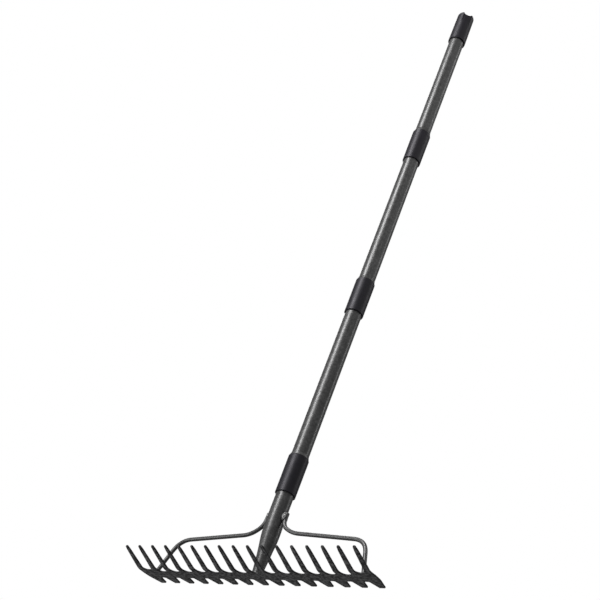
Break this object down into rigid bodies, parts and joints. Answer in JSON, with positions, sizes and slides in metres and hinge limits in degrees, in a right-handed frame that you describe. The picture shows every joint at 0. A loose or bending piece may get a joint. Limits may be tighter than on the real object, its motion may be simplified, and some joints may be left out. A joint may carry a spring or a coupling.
{
  "type": "bow rake",
  "caption": "Garden bow rake: flat steel head with long tines and short scraper teeth, a rod bow and tapered socket, on a sectional tubular handle with screw collars and end cap.",
  "frame": {"origin": "where the handle's axis meets the underside of the head's flat bar", "axes": "+Z along the handle towards the end cap, X across the head, tines point to -Y and scraper teeth to +Y"},
  "size_m": [0.44, 0.0952, 1.2444],
  "materials": {
    "painted_steel_hammertone": "hammertone grey stove enamel on tube, socket and bow, medium gloss",
    "coated_plate": "near-black matt powder coat over stamped sheet steel",
    "weld_bead": "painted weld bead, uneven and slightly glossier",
    "black_plastic": "satin black moulded polypropylene with fine moulding grain",
    "nylon": "natural glass-filled nylon",
    "pin_steel": "bright steel cross pin"
  },
  "bodies": {
    "head": {"tine_plate": "coated_plate", "socket": "painted_steel_hammertone", "weld_socket_foot": "weld_bead", "bow_rod_left": "painted_steel_hammertone", "bow_rod_right": "painted_steel_hammertone", "weld_bow_foot_left": "weld_bead", "weld_bow_top_left_front": "weld_bead", "weld_bow_top_left_rear": "weld_bead", "weld_bow_foot_right": "weld_bead", "weld_bow_top_right_front": "weld_bead", "weld_bow_top_right_rear": "weld_bead", "threaded_plug_lower": "nylon", "plug_pin_lower": "pin_steel"},
    "section_lower": {"handle_tube_lower": "painted_steel_hammertone", "captive_bush_lower": "nylon", "bush_pin_lower": "pin_steel", "threaded_plug_middle": "nylon", "plug_pin_middle": "pin_steel"},
    "collar_lower": {"screw_collar_lower": "black_plastic"},
    "section_middle": {"handle_tube_middle": "painted_steel_hammertone", "captive_bush_middle": "nylon", "bush_pin_middle": "pin_steel", "threaded_plug_upper": "nylon", "plug_pin_upper": "pin_steel"},
    "collar_middle": {"screw_collar_middle": "black_plastic"},
    "section_upper": {"handle_tube_upper": "painted_steel_hammertone", "captive_bush_upper": "nylon", "bush_pin_upper": "pin_steel", "end_cap": "black_plastic"},
    "collar_upper": {"screw_collar_upper": "black_plastic"}
  },
  "joints": [
    {"name": "section_lower_slide", "type": "slide", "parent": "head", "child": "section_lower", "axis": [0, 0, 1], "range_m": [0, 0.018]},
    {"name": "collar_lower_turn", "type": "hinge", "parent": "section_lower", "child": "collar_lower", "pos_m": [0, 0, 0.177], "axis": [0, 0, 1], "range_deg": [0, 1621]},
    {"name": "section_middle_slide", "type": "slide", "parent": "section_lower", "child": "section_middle", "axis": [0, 0, 1], "range_m": [0, 0.018]},
    {"name": "collar_middle_turn", "type": "hinge", "parent": "section_middle", "child": "collar_middle", "pos_m": [0, 0, 0.529], "axis": [0, 0, 1], "range_deg": [0, 1621]},
    {"name": "section_upper_slide", "type": "slide", "parent": "section_middle", "child": "section_upper", "axis": [0, 0, 1], "range_m": [0, 0.018]},
    {"name": "collar_upper_turn", "type": "hinge", "parent": "section_upper", "child": "collar_upper", "pos_m": [0, 0, 0.882], "axis": [0, 0, 1], "range_deg": [0, 1621]}
  ],
  "couplings": [
    {"joint": "collar_lower_turn", "follows": "section_lower_slide", "rad_per_m": 1570.8},
    {"joint": "collar_middle_turn", "follows": "section_middle_slide", "rad_per_m": 1570.8},
    {"joint": "collar_upper_turn", "follows": "section_upper_slide", "rad_per_m": 1570.8}
  ]
}
